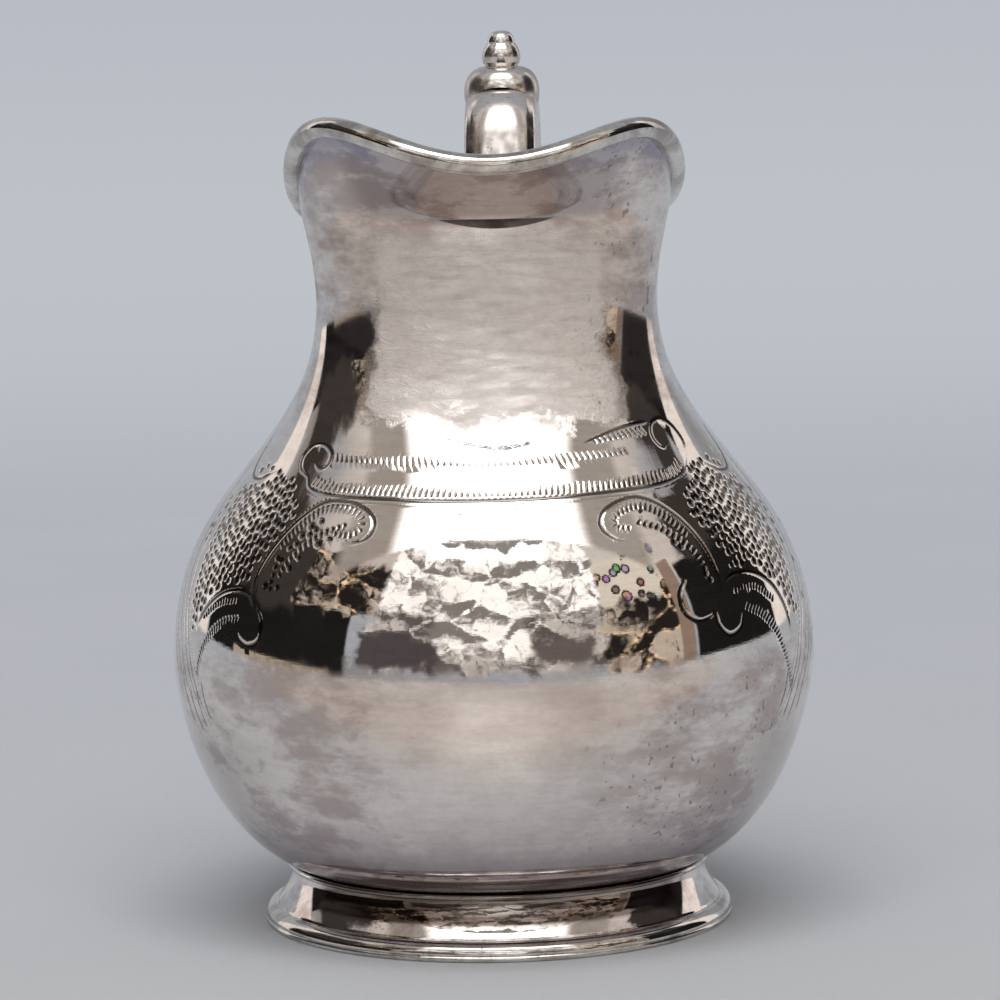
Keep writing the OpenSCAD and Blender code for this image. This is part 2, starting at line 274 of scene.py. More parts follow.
class Relief:
    """Height of the cut pattern over the body's fine lattice, in millimetres."""

    def __init__(self):
        self.cut = np.zeros((len(ROW_S), COLUMNS))
        self.level = np.full(((len(ROW_S) - 1) // CELL, COARSE_COLUMNS), CELL)

    def stamp(self, angles, heights, radius, depth):
        """Round cuts of the given radius and depth, at angles in degrees and heights."""
        angles, heights = np.atleast_1d(angles).astype(float), np.atleast_1d(heights).astype(float)
        radius = np.broadcast_to(np.asarray(radius, float), angles.shape)
        depth = np.broadcast_to(np.asarray(depth, float), angles.shape)
        rows = row_at(heights)
        columns = np.radians(angles) / TURN * COLUMNS
        column_mm = radius_at(heights) * TURN / COLUMNS
        reach_rows = int(math.ceil(radius.max() / ROW_MM)) + 1
        reach_columns = int(math.ceil(radius.max() / column_mm.min())) + 1
        base_row, base_column = np.floor(rows).astype(int), np.floor(columns).astype(int)
        for i in range(-reach_rows, reach_rows + 1):
            for j in range(-reach_columns, reach_columns + 1):
                down = (base_row + i - rows) * ROW_MM
                across = (base_column + j - columns) * column_mm
                share = (down**2 + across**2) / radius**2
                hit = share < 1
                value = -depth * (1 - share)
                at = (base_row[hit] + i, (base_column[hit] + j) % COLUMNS)
                np.minimum.at(self.cut, at, value[hit])

    def refine(self):
        """Marks the coarse cells that hold cuts, so that the mesh is fine there."""
        rows, columns = self.level.shape
        deep = np.abs(self.cut) > SHALLOWEST_CUT
        block = deep[: rows * CELL].reshape(rows, CELL, columns, CELL).any(axis=(1, 3))
        self.level[block] = 1


def smooth_path(points, pitch=PATH_PITCH):
    """Catmull-Rom curve through (angle, height) points, at even steps on the bowl's surface."""
    p = np.asarray(points, float)
    ends = np.vstack((2 * p[0] - p[1], p, 2 * p[-1] - p[-2]))
    t = np.linspace(0, 1, 40, endpoint=False)[:, None]
    pieces = []
    for a, b, c, d in zip(ends[:-3], ends[1:-2], ends[2:-1], ends[3:]):
        pieces.append(0.5 * (2 * b + (c - a) * t + (2 * a - 5 * b + 4 * c - d) * t**2
                             + (3 * b - a - 3 * c + d) * t**3))
    fine = np.vstack(pieces + [p[-1:]])
    scale = np.radians(radius_at(fine[:, 1]))
    step = np.hypot(np.diff(fine[:, 0]) * (scale[1:] + scale[:-1]) / 2, np.diff(fine[:, 1]) * 1.15)
    length = np.concatenate(([0], np.cumsum(step)))
    even = np.arange(0, length[-1], pitch)
    return np.stack((np.interp(even, length, fine[:, 0]), np.interp(even, length, fine[:, 1])), -1)


def cut_line(relief, points, width=0.3, depth=0.09):
    """One engraved line that swells in the middle and runs out at its ends."""
    path = smooth_path(points)
    t = np.linspace(0, 1, len(path))
    swell = np.clip(np.sin(math.pi * t) * 2.2, 0.25, 1)
    relief.stamp(path[:, 0], path[:, 1], width * (0.55 + 0.45 * swell), depth * swell)


def cut_ticks(relief, points, pitch=0.78, length=0.85, slant=20, width=0.24, depth=0.11):
    """A row of short wedge cuts along a path, each at a slant to it."""
    path = smooth_path(points, pitch)
    scale = np.radians(radius_at(path[:, 1]))
    along = np.gradient(path, axis=0)
    heading = np.arctan2(along[:, 1], along[:, 0] * scale)
    slanted = heading + math.radians(90 - slant)
    for share in np.linspace(-0.5, 0.5, 8):
        thick = width * (0.75 - 0.5 * share)
        across = path[:, 0] + share * length * np.cos(slanted) / scale
        up = path[:, 1] + share * length * np.sin(slanted)
        relief.stamp(across, up, thick, depth * (0.8 - 0.4 * share))


def inside_outline(angles, heights, outline):
    """Which points lie inside a closed outline of (angle, height) corners."""
    inside = np.zeros(angles.shape, bool)
    corners = np.asarray(outline, float)
    for (a0, z0), (a1, z1) in zip(corners, np.roll(corners, -1, axis=0)):
        crosses = (z0 > heights) != (z1 > heights)
        at = a0 + (heights - z0) * (a1 - a0) / (z1 - z0 + 1e-12)
        inside ^= crosses & (angles < at)
    return inside


def cut_matting(relief, outline, slope, seed, pitch=1.25):
    """A punched ground: wavy rows of small cups inside an outline."""
    rng = np.random.default_rng(seed)
    corners = np.asarray(outline, float)
    middle = corners.mean(axis=0)
    scale = math.radians(float(radius_at(middle[1])))
    reach = 40
    u, v = np.meshgrid(np.arange(-reach, reach, pitch), np.arange(-reach, reach, pitch * 0.86))
    u = u + pitch / 2 * (np.arange(len(v)) % 2)[:, None] + rng.uniform(-0.1, 0.1, u.shape) * pitch
    v = v + 0.28 * pitch * np.sin(u * 1.9) + rng.uniform(-0.08, 0.08, v.shape) * pitch
    turn = math.radians(slope)
    across = u * math.cos(turn) - v * math.sin(turn)
    up = u * math.sin(turn) + v * math.cos(turn)
    angles, heights = middle[0] + across / scale, middle[1] + up
    keep = inside_outline(angles, heights, outline)
    angles, heights = angles[keep], heights[keep]
    rows, columns = np.rint(row_at(heights)).astype(int), np.rint(angles / 360 * COLUMNS).astype(int)
    free = np.ones(len(angles), bool)
    for i in (-2, 0, 2):
        for j in (-2, 0, 2):
            free &= relief.cut[rows + i, (columns + j) % COLUMNS] > -0.01
    size = pitch * rng.uniform(0.42, 0.56, free.sum())
    relief.stamp(angles[free], heights[free], size, size * 0.2)


def mirrored(points):
    return [(-a, z) for a, z in points]


def behind(points):
    """The same pattern on the half of the bowl nearer to the handle."""
    return [(math.copysign(180, a) - a, z) for a, z in points]


def behind_mirrored(points):
    return behind(mirrored(points))


# Ways of placing a pattern, with the way its rows of punched cups lean.
QUARTERS = ((list, 35), (mirrored, -35), (behind, -35), (behind_mirrored, 35))


CARTOUCHE_LINE = [(-44, 64.6), (-42, 63.3), (-37, 62.7), (-24, 62.4), (-8, 62.2), (10, 62.3), (28, 62.7),
                  (40, 63.2), (47, 64.3), (51, 66.2)]
CARTOUCHE_TICKS = [(-41, 64.2), (-36, 63.7), (-20, 63.4), (0, 63.2), (20, 63.4), (36, 63.9), (43, 64.4),
                   (47.5, 65.7)]
CARTOUCHE_TOP_TICKS = [(-37, 67.0), (-20, 66.9), (0, 66.7), (12, 66.8), (24, 67.1), (33, 67.4)]
CARTOUCHE_TOP_RIGHT = [(24, 68.8), (32, 69.3), (40, 69.6)]
LOOP_LEFT = [(-44, 64.6), (-47.6, 65.6), (-48.6, 67), (-46.4, 68.4), (-42.5, 68.6), (-39.2, 67.6),
             (-39, 66.2), (-41.2, 65.6), (-43.4, 66.3)]
LOOP_RIGHT = [(51, 66.2), (52.6, 68), (50.6, 69.9), (46.5, 70.8), (42.5, 70.2), (41.4, 68.6), (43.6, 67.3),
              (46.2, 67.9)]
BRACKET_RIGHT = [(20, 68.2), (24.6, 69), (30, 69.8), (37, 70.4), (43.4, 70.6)]

SCROLL_LEFT = [(-30.5, 57.4), (-27, 57.1), (-24, 58.1), (-23.6, 59.8), (-26, 61.2), (-30.5, 62),
               (-36, 61.8), (-41, 59.9), (-45.2, 56.9), (-48, 53.4), (-48.6, 50.4), (-47.6, 48.4)]
SCROLL_LEFT_INNER = [(-31.5, 58.3), (-28.6, 58.1), (-26.2, 59), (-27.2, 60.4), (-31, 61.1), (-36, 60.8),
                     (-40.4, 58.9), (-44, 56)]
BEADS_LEFT = [(-30, 58.9), (-34.6, 57.9), (-38.6, 56.1), (-41.4, 53.9), (-42.6, 51.9)]
SCROLL_RIGHT = [(28, 56.9), (24.4, 56.9), (21.6, 58.3), (22, 60), (25.4, 61.3), (30.8, 61.8), (35.6, 60.8),
                (40.4, 58.3), (43.6, 55), (45, 51.2), (44.4, 48.6)]
SCROLL_RIGHT_INNER = [(27.2, 58), (24.6, 58.4), (24.6, 59.7), (28, 60.6), (32, 60.7), (36.6, 59.3),
                      (40.4, 56.8)]
CURL_RIGHT = [(36.6, 51.2), (35, 49.6), (35.4, 47.4), (38, 46.1), (41, 46.3), (42.8, 47.2)]

LOWER_LEFT = [(-66, 44.2), (-62.6, 47.2), (-57.6, 49.4), (-52, 50.2), (-48.6, 49.5)]
LOWER_LEFT_CURL = [(-46.4, 48.4), (-44.8, 46.4), (-45.4, 44), (-48, 43.2), (-50.4, 43.9), (-50.8, 45.2)]
LOWER_LEFT_TICKS = [(-51.6, 46.2), (-55.6, 45.6), (-59.6, 43.8), (-62.8, 41), (-64.6, 37.4)]
LOWER_LEFT_BEADS = [(-63, 46), (-58, 48.1), (-52.6, 48.9)]
LOWER_RIGHT = [(44.6, 49.8), (49, 51.2), (55, 50.9), (60.6, 48.9), (64.2, 45.2), (65, 41)]
LOWER_RIGHT_CURL = [(42.4, 47.4), (42.8, 45.2), (45.2, 43.6), (48.4, 44.4), (49.6, 46.6)]
LOWER_RIGHT_TICKS = [(51, 46.9), (55.6, 45.3), (59.6, 42.4), (62.6, 38.6), (65, 34.6)]
LOWER_RIGHT_BEADS = [(48.6, 49.4), (54.6, 49.2), (59.8, 47)]
NOTCH = [(-75, 70), (-73.4, 66.4), (-69, 64), (-63, 63.8), (-57.4, 65)]

PLUMES = [
    [(-60, 29.6), (-64, 34), (-68.5, 40), (-72.5, 47), (-74, 54), (-73, 61), (-68.5, 66)],
    [(-61.5, 29.2), (-66, 34.4), (-71, 41), (-76, 49), (-78.4, 57), (-78, 64), (-74.5, 69)],
    [(-64, 28.8), (-69, 34.6), (-75, 42.4), (-80.4, 51), (-83.6, 59), (-84.4, 66)],
    [(-67, 29.6), (-73, 36), (-79.6, 44.4), (-85.6, 53), (-89, 61)],
    [(-72, 32.4), (-78.4, 38.6), (-85, 46.6), (-90, 54)],
]
FRONDS = [
    [(-63, 37.6), (-62, 34), (-60.4, 31.4)],
    [(-65.6, 36), (-64.6, 32.6), (-62.6, 30)],
    [(-69, 36.6), (-67.6, 32.6), (-65, 29.4)],
    [(-72.6, 38.6), (-71.6, 34), (-69, 30)],
]
MATTED = [(-46, 47), (-49.4, 52), (-47, 56), (-43, 60), (-44, 62), (-50.4, 64.8), (-57, 65.6),
          (-66, 65.4), (-74, 62), (-78, 56), (-78, 49), (-74, 42.6), (-70, 40.4), (-67.6, 44.2),
          (-63, 48.6), (-56, 51.4), (-49, 51)]
MATTED_INNER = [(-31, 57.4), (-36, 56.4), (-40, 54), (-42, 50.8), (-46, 50), (-45, 54.6), (-41, 58.2),
                (-36.4, 59.6), (-31.4, 59.4)]


def cut_side(relief, place_points):
    """The plumes, fronds and notch of one quarter. place_points puts them in place."""
    for plume in PLUMES:
        cut_line(relief, place_points(plume), width=0.26, depth=0.07)
        inner = [(a + 1.4, z + 0.5) for a, z in plume]
        cut_ticks(relief, place_points(inner), pitch=0.95, length=0.5, slant=60, width=0.17, depth=0.07)
    for frond in FRONDS:
        cut_line(relief, place_points(frond), width=0.26, depth=0.08)
    cut_line(relief, place_points(NOTCH), width=0.34, depth=0.1)


def cut_scrolls(relief, place_points, scroll, inner, lower, curl, ticks, beads):
    """One leafy scroll with the smaller one below it."""
    cut_line(relief, place_points(scroll), width=0.36, depth=0.1)
    cut_line(relief, place_points([(a * 0.985, z - 0.45) for a, z in scroll[2:]]), width=0.2, depth=0.05)
    cut_ticks(relief, place_points(inner), pitch=0.74, length=0.8, slant=10)
    cut_ticks(relief, place_points(scroll[2:]), pitch=0.62, length=0.7, slant=35, width=0.15, depth=0.05)
    cut_line(relief, place_points(lower), width=0.36, depth=0.1)
    cut_line(relief, place_points(curl), width=0.34, depth=0.1)
    cut_ticks(relief, place_points(ticks), pitch=0.7, length=1.0, slant=15)
    cut_ticks(relief, place_points(beads), pitch=0.7, length=0.7, slant=10)


def engrave():
    """The whole pattern of the bowl."""
    relief = Relief()
    cut_line(relief, CARTOUCHE_LINE, width=0.36, depth=0.1)
    cut_line(relief, [(a, z - 0.55) for a, z in CARTOUCHE_LINE[1:-1]], width=0.2, depth=0.05)
    cut_ticks(relief, CARTOUCHE_TICKS, pitch=0.76, length=1.0, slant=12)
    cut_ticks(relief, CARTOUCHE_TOP_TICKS, pitch=0.78, length=0.8, slant=-20, depth=0.09)
    cut_ticks(relief, CARTOUCHE_TOP_RIGHT, pitch=0.78, length=0.9, slant=-25)
    cut_line(relief, LOOP_LEFT)
    cut_line(relief, LOOP_RIGHT)
    cut_line(relief, BRACKET_RIGHT)
    left = (SCROLL_LEFT, SCROLL_LEFT_INNER, LOWER_LEFT, LOWER_LEFT_CURL, LOWER_LEFT_TICKS, LOWER_LEFT_BEADS)
    right = (SCROLL_RIGHT, SCROLL_RIGHT_INNER, LOWER_RIGHT, LOWER_RIGHT_CURL, LOWER_RIGHT_TICKS,
             LOWER_RIGHT_BEADS)
    for put in (list, behind):
        cut_scrolls(relief, put, *left)
        cut_scrolls(relief, put, *right)
    for beads in (BEADS_LEFT, mirrored(BEADS_LEFT)):
        cut_ticks(relief, beads, pitch=0.9, length=0.6, slant=20, width=0.3)
    cut_line(relief, CURL_RIGHT)
    for put, _ in QUARTERS:
        cut_side(relief, put)
    relief.refine()
    for number, (put, slope) in enumerate(QUARTERS):
        cut_matting(relief, put(MATTED), slope=slope, seed=number)
        cut_matting(relief, put(MATTED_INNER), pitch=1.1, slope=slope, seed=10 + number)
    relief.refine()
    relief.level[-3:] = 1
    return relief


# ---------------------------------------------------------------- body

def ripples(points):
    """Slow unevenness of a hand-raised body, in millimetres."""
    rng = np.random.default_rng(7)
    height = np.zeros(points.shape[:-1])
    for wavelength, size in ((46, 0.035), (31, 0.022), (19, 0.009), (13, 0.004)):
        for _ in range(3):
            direction = unit(rng.normal(size=3)) * TURN / wavelength
            height += size * np.sin(points @ direction + rng.uniform(0, TURN))
    return height


def lattice_mesh(points, level):
    """Vertices in use and faces of a lattice that is fine only in the cells that level marks."""
    rows, columns = level.shape
    used = np.zeros(points.shape[:2], bool)
    for step in (CELL, 1):
        r, c = np.nonzero(level == step)
        for i in range(0, CELL + 1, step):
            for j in range(0, CELL + 1, step):
                used[r * CELL + i, (c * CELL + j) % points.shape[1]] = True
    index = np.full(used.shape, -1)
    index[used] = np.arange(used.sum())
    faces = []
    r, c = np.nonzero(level == 1)
    for i in range(CELL):
        for j in range(CELL):
            top, left, right = r * CELL + i, c * CELL + j, (c * CELL + j + 1) % points.shape[1]
            quads = (index[top, left], index[top, right], index[top + 1, right], index[top + 1, left])
            faces.extend(np.stack(quads, -1).tolist())
    for row, column in zip(*np.nonzero(level == CELL)):
        low, left = row * CELL, column * CELL
        right = (left + CELL) % points.shape[1]
        round_ = [index[low, (left + k) % points.shape[1]] for k in range(CELL)]
        round_ += [index[low + k, right] for k in range(CELL)]
        round_ += [index[low + CELL, (left + CELL - k) % points.shape[1]] for k in range(CELL)]
        round_ += [index[low + CELL - k, left] for k in range(CELL)]
        faces.append([int(v) for v in round_ if v >= 0])
    faces.append([int(v) for v in index[0, ::CELL]][::-1])
    faces.append([int(v) for v in index[-1, ::CELL]])
    return used, faces


def rolled_edge(a, s):
    """How far the body turns out under the rim wire at the corners of the mouth."""
    bearing = np.abs(np.degrees((a + math.pi) % TURN - math.pi))
    corner = np.clip((bearing - 20) / 40, 0, 1) * np.clip((125 - bearing) / 40, 0, 1)
    return 0.9 * corner * corner * (3 - 2 * corner) * np.clip((s - 3.84) / 0.16, 0, 1) ** 2


def wire_centre(a):
    """The middle of the rim wire at each bearing, with the outward and upward directions there."""
    step = 1e-3
    edge = np.full(a.shape, 4.0)
    tangent = unit(skin(a + step, edge) - skin(a - step, edge))
    flat = unit(tangent * [1, 1, 0])
    out = np.stack((flat[..., 1], -flat[..., 0], np.zeros(a.shape)), -1)
    upward = unit(np.cross(tangent, -out))
    upward = upward * np.sign(upward[..., 2:3])
    return skin(a, edge) + out * WIRE_OUT - upward * WIRE_DOWN, out, upward


def build_body(material):
    relief = engrave()
    points, normal, round_, along = skin_frame(COLUMN_A[None, :], ROW_S[:, None])
    swell = ripples(points) - 0.09
    rise = relief.cut + swell + rolled_edge(COLUMN_A[None, :], ROW_S[:, None])
    joint = np.linalg.norm(points - wire_centre(COLUMN_A)[0][None], axis=-1)
    bearing = np.abs(np.degrees((COLUMN_A + math.pi) % TURN - math.pi))
    corner = np.clip((bearing - 35) / 30, 0, 1) * np.clip((135 - bearing) / 30, 0, 1)
    # A dark joint line under the rim wire, widened at the mouth's corners into a painted dark reflection.
    joint_line_and_painted_dark = 0.09 * np.clip((2.05 + 0.55 * corner[None] - joint) / 0.35, 0, 1)
    column_mm = np.linalg.norm(np.roll(points, -1, 1) - np.roll(points, 1, 1), axis=-1)
    across = (np.roll(rise, -1, 1) - np.roll(rise, 1, 1)) / np.maximum(column_mm, 0.02)
    row_mm = np.gradient(np.cumsum(np.linalg.norm(np.gradient(points, axis=0), axis=-1), axis=0), axis=0)
    up = np.gradient(rise, axis=0) / np.maximum(row_mm, 0.02)
    cut_normal = unit(normal - across[..., None] * round_ - up[..., None] * along)
    outside = points + rise[..., None] * normal

    lining_rows = np.rint(np.linspace(len(ROW_S) - 1, 0, LINING_ROWS * CELL + 1)).astype(int)
    lining = points[lining_rows] - normal[lining_rows] * WALL
    all_points = np.concatenate((outside, lining[1:]))
    all_normals = np.concatenate((cut_normal, -normal[lining_rows][1:]))
    all_cuts_and_painted_dark = np.concatenate((np.minimum(relief.cut, -joint_line_and_painted_dark), np.zeros(lining[1:].shape[:2])))
    lining_level = np.full((LINING_ROWS, COARSE_COLUMNS), CELL)
    used, faces = lattice_mesh(all_points, np.concatenate((relief.level, lining_level)))
    body = new_object("jug_body", all_points[used], faces, material, all_normals[used])
    # The engraving depth, with the painted dark under the rim wire folded in, goes to the material.
    depth = body.data.attributes.new("cut_depth_and_painted_dark", "FLOAT", "POINT")
    depth.data.foreach_set("value", (-all_cuts_and_painted_dark[used]).astype(np.float32))
    gap = np.concatenate((joint - 1.5, np.full(lining[1:].shape[:2], 50.0)))
    rim_gap = body.data.attributes.new("rim_gap", "FLOAT", "POINT")
    rim_gap.data.foreach_set("value", gap[used].astype(np.float32))
    return place(body, "body")


# ---------------------------------------------------------------- rim, foot and rings

def build_rim_wire(material, columns=32, rows=720):
    centre, out, upward = wire_centre(ring_angles(rows))
    phi = ring_angles(columns)
    sideways = WIRE_HALF_B * np.cos(phi)
    height = WIRE_HALF_H * np.sin(phi)
    grid = (centre[:, None] + out[:, None] * sideways[None, :, None]
            + upward[:, None] * height[None, :, None])
    points, faces = ring_tube(grid)
    return place(new_object("mouth_wire", points, faces, material), "rim_wire")


def curve_points(points, count):
    return [tuple(p) for p in bezier(points, np.linspace(0, 1, count))]


def arc(middle, radius, start, end, count=10):
    """Points of an arc in (radius, z), angles in degrees from outward."""
    t = np.radians(np.linspace(start, end, count))
    return [(middle[0] + radius * math.cos(v), middle[1] + radius * math.sin(v)) for v in t]


def build_foot(material):
    """The spun foot: a short collar, a hollow curve and a skirt that the edge wire goes round."""
    outside = [(SEAT_R - 1.1, SEAT_Z - 0.35), (SEAT_R - 0.12, SEAT_Z - 0.35), (SEAT_R - 0.12, SEAT_Z - 0.7)]
    outside += curve_points(FOOT_COVE, 40)
    outside += [(31.13, 2.7), (31.18, 2.6), (SKIRT_R, WIRE_TOP + 0.04), (SKIRT_R, 0.35)]
    inside = [(30.5, 0.35)]
    inside += curve_points(((29.7, 1.8), (28.9, 3.4), (28.0, 5.4), (SEAT_R - 1.3, SEAT_Z - 1.2)), 16)
    points, faces = ring_tube(lathe_grid(outside + inside)[::-1])
    foot = new_object("spread_foot", points, faces, material)
    foot.data.set_sharp_from_angle(angle=math.radians(40))
    return place(foot, "foot")


def build_foot_wire(material):
    """The wire round the foot's edge: a quarter round over a small bead."""
    width = FOOT_R - 0.05 - SKIRT_R
    section = arc((FOOT_R - 0.45, 0.45), 0.45, -90, 50, 14)
    for t in np.radians(np.linspace(0, 90, 24)):
        section.append((SKIRT_R + width * math.cos(t), 0.95 + (WIRE_TOP - 0.95) * math.sin(t)))
    section += [(SKIRT_R, 0.0)]
    points, faces = ring_tube(lathe_grid(section))
    wire = new_object("foot_edge_wire", points, faces, material)
    wire.data.set_sharp_from_angle(angle=math.radians(35))
    return place(wire, "foot_wire")


def build_seam_ring(material):
    section = arc((SEAT_R - 0.1, SEAT_Z - 0.47), 0.4, -180, 160, 18)
    points, faces = ring_tube(lathe_grid(section))
    return place(new_object("seam_bead", points, faces, material), "seam_ring")


# ---------------------------------------------------------------- handle

HANDLE_PATH = (
    ((NECK_R + 1.1, 87.4), (33, 87.6), (39.8, 92), (41.4, 100)),
    ((41.4, 100), (42.7, 106.5), (44.3, 112.4), (51.5, 112.6)),
    ((51.5, 112.6), (61.6, 112.9), (73.8, 103.6), (74, 90)),
    ((74, 90), (74.2, 76.5), (48.4, 60), (47.4, 46.5)),
)
TAIL_PATH = (
    ((47.4, 46.5), (47, 41), (50, 36.8), (54.4, 38.2)),
    ((54.4, 38.2), (58.4, 39.5), (57.6, 45.2), (54, 44.4)),
)


def path_frame(path, s):
    """Point, direction and outward normal in the handle's plane at s along chained Beziers."""
    s = np.asarray(s, float)
    part = np.minimum(s.astype(int), len(path) - 1)
    t = s - part
    step = 1e-4
    ahead, behind_, here = (np.empty(s.shape + (2,)) for _ in range(3))
    for k, piece in enumerate(path):
        chosen = part == k
        here[chosen] = bezier(piece, t[chosen])
        ahead[chosen] = bezier(piece, t[chosen] + step)
        behind_[chosen] = bezier(piece, t[chosen] - step)
    direction = unit(ahead - behind_)
    return here, direction, np.stack((-direction[..., 1], direction[..., 0]), -1)


def in_handle_plane(across, outward, z):
    """Points from (sideways, distance from the axis, height), turned to where the handle stands."""
    c, s = math.cos(HANDLE_TURN), math.sin(HANDLE_TURN)
    return np.stack((across * c - outward * s, across * s + outward * c, z), -1)


def strap_sizes(s):
    """Half width and half thickness of the handle strap."""
    width = np.where(s < 1, bezier((4.6, 4.9, 5.4, 5.4), np.clip(s, 0, 1)), 5.4)
    late = np.clip((s - 2) / 2, 0, 1)
    width = np.where(s > 2, bezier((5.4, 5.4, 4.0, 3.5), late), width)
    thick = np.where(s > 2, bezier((3.2, 3.2, 2.7, 2.4), late), 3.2)
    return width, thick


def strap_section(count):
    """Half section of the strap, from the inner seam to the outer one: (sideways, outward) of 1."""
    phi = np.linspace(-math.pi / 2, math.pi / 2, count)
    across, outward = np.cos(phi), np.sin(phi)
    groove = 0.022 * np.exp(-((np.abs(phi) - 0.5) / 0.07) ** 2)
    return across * (1 - groove), outward * (1 - groove)


def build_handle_half(name, node, side, material, rows=200, count=34):
    s = np.linspace(0, 4, rows)
    here, direction, normal = path_frame(HANDLE_PATH, s)
    width, thick = strap_sizes(s)
    across, outward = strap_section(count)
    x = (width[:, None] - 0.07) * across[None, :]
    away = (thick[:, None] - 0.03) * outward[None, :]
    grid = in_handle_plane(side * x, here[:, None, 0] + away * normal[:, None, 0],
                           here[:, None, 1] + away * normal[:, None, 1])
    if side > 0:
        grid = grid[:, ::-1]
    points, faces = closed_tube(grid)
    half = new_object(name, points, faces, material)
    half.data.set_sharp_from_angle(angle=math.radians(60))
    return place(half, node)


def build_tail(material, rows=120, columns=40):
    s = np.linspace(0, 2, rows)
    here, direction, normal = path_frame(TAIL_PATH, s)
    radius = bezier((2.4, 2.4, 1.7, 1.3), s / 2)
    breadth = bezier((7 / 4.8, 1.35, 1.1, 1.1), s / 2)
    round_end = np.sqrt(np.clip((2 - s) / 0.12, 0, 1))
    round_end[-1] = 0.05
    phi = ring_angles(columns)
    x = (radius * breadth * round_end)[:, None] * np.cos(phi)
    away = (radius * round_end)[:, None] * np.sin(phi)
    grid = in_handle_plane(x, here[:, None, 0] + away * normal[:, None, 0],
                           here[:, None, 1] + away * normal[:, None, 1])
    points, faces = closed_tube(grid[:, ::-1])
    return place(new_object("tail_curl", points, faces, material), "tail_scroll")


def skin_at_side(x, z):
    """The point of the body's back at sideways x and height z, by a few steps of search."""
    a = np.full(x.shape, math.pi)
    s = np.full(x.shape, 3.1)
    for _ in range(60):
        p = skin(a, s)
        a = a - np.clip((x - p[..., 0]) / 25, -0.2, 0.2)
        s = np.clip(s + np.clip((z - p[..., 2]) / 30, -0.15, 0.15), 1.01, 3.99)
    return skin(a, s)


def build_mount(name, node, material, middle_z, reach, foot_half, strap_end, rows=18):
    """A soldered plate that flares from a section of the strap down onto the body.

    reach is how far the joint is from the jug's axis, and foot_half its half width and half height.
    """
    phi = ring_angles(MOUNT_COLUMNS)
    x = foot_half[0] * np.cos(phi) - reach * math.sin(HANDLE_TURN)
    z = middle_z + foot_half[1] * np.sin(phi)
    on_body = skin_at_side(x, z)
    t = np.linspace(0, 1, rows)[:, None, None]
    flare = (1 - t) ** 2.2
    spread = on_body[None] - on_body.mean(axis=0)
    narrow = strap_end[None] - strap_end.mean(axis=0)
    centre = on_body.mean(axis=0) * (1 - t) + strap_end.mean(axis=0) * t
    grid = centre + spread * flare + narrow * (1 - flare)
    grid[0] = on_body + (on_body.mean(axis=0) - centre[1]) * 0.3
    points, faces = closed_tube(grid)
    return place(new_object(name, points, faces, material), node)


def strap_ring(s, scale):
    """One whole section of the strap at s, a little larger than the strap."""
    here, _, normal = path_frame(HANDLE_PATH, np.array([s]))
    width, thick = strap_sizes(np.array([s]))
    phi = ring_angles(MOUNT_COLUMNS)
    away = thick * scale * np.sin(phi)
    return in_handle_plane(width * scale * np.cos(phi), here[0, 0] + away * normal[0, 0],
                           here[0, 1] + away * normal[0, 1])


def build_lower_mount(material):
    phi = ring_angles(MOUNT_COLUMNS)
    here = path_frame(HANDLE_PATH, np.array([3.925]))[0][0]
    strap_end = in_handle_plane(3.1 * np.cos(phi), here[0] - 1.2 + 0 * phi, here[1] + 2.9 * np.sin(phi))
    return build_mount("lower_plate", "handle_lower_mount", material, here[1], 44, (4.2, 3.8), strap_end)


def build_upper_mount(material):
    return build_mount("upper_plate", "handle_upper_mount", material, 87.4, 24, (6.4, 5.0),
                       strap_ring(0.16, 1.02))


# ---------------------------------------------------------------- bud

def build_cap(material, columns=128):
    a = ring_angles(columns)
    arch = np.abs(np.cos(a)) ** 1.5
    edge = 112.3 + 2.6 * arch
    profile = [(5.3, 112.3), (5.5, 112.6), (5.58, 112.9)]
    profile += curve_points(((5.58, 112.9), (5.78, 114.4), (5.66, 116.4), (4.2, 117.4)), 22)[1:]
    profile += [(3.6, 117.72), (3.1, 117.92), (2.5, CAP_TOP_Z)]
    profile = np.asarray(profile)
    share = np.linspace(0, 1, 40)
    rows = []
    for t in share:
        z = edge + (CAP_TOP_Z - edge) * t
        rows.append((np.interp(z, profile[:, 1], profile[:, 0]), z))
    inner = []
    for t in share[::-1][8:]:
        z = edge + (CAP_TOP_Z - 0.6 - edge) * t
        inner.append((np.interp(z, profile[:, 1], profile[:, 0]) - 0.45, z))
    rows = inner + rows
    grid = np.stack([in_handle_plane(r * np.sin(a), BUD_Y - r * np.cos(a), z) for r, z in rows])
    points, faces = closed_tube(grid)
    cap = new_object("bud_calyx", points, faces, material)
    cap.data.set_sharp_from_angle(angle=math.radians(45))
    return place(cap, "bud_cap")


def build_finial(material, columns=96):
    profile = [(0.01, 117.7), (2.2, 117.7), (2.4, 117.9), (2.42, 118.15), (2.72, 118.4)]
    profile += curve_points(((2.72, 118.4), (3.06, 119.3), (2.88, 120.4), (2.13, 121.32)), 16)[1:]
    profile += [(2.07, 121.4), (2.06, 121.46)]
    profile += curve_points(((2.07, 121.52), (1.95, 122.6), (1.45, TOP_Z), (0.01, TOP_Z)), 16)
    a = ring_angles(columns)
    grid = np.stack([in_handle_plane(r * np.sin(a), BUD_Y - r * np.cos(a), z + 0 * a) for r, z in profile])
    points, faces = closed_tube(grid)
    return place(new_object("bud_tip", points, faces, material), "bud_finial")


# ---------------------------------------------------------------- shader graphs

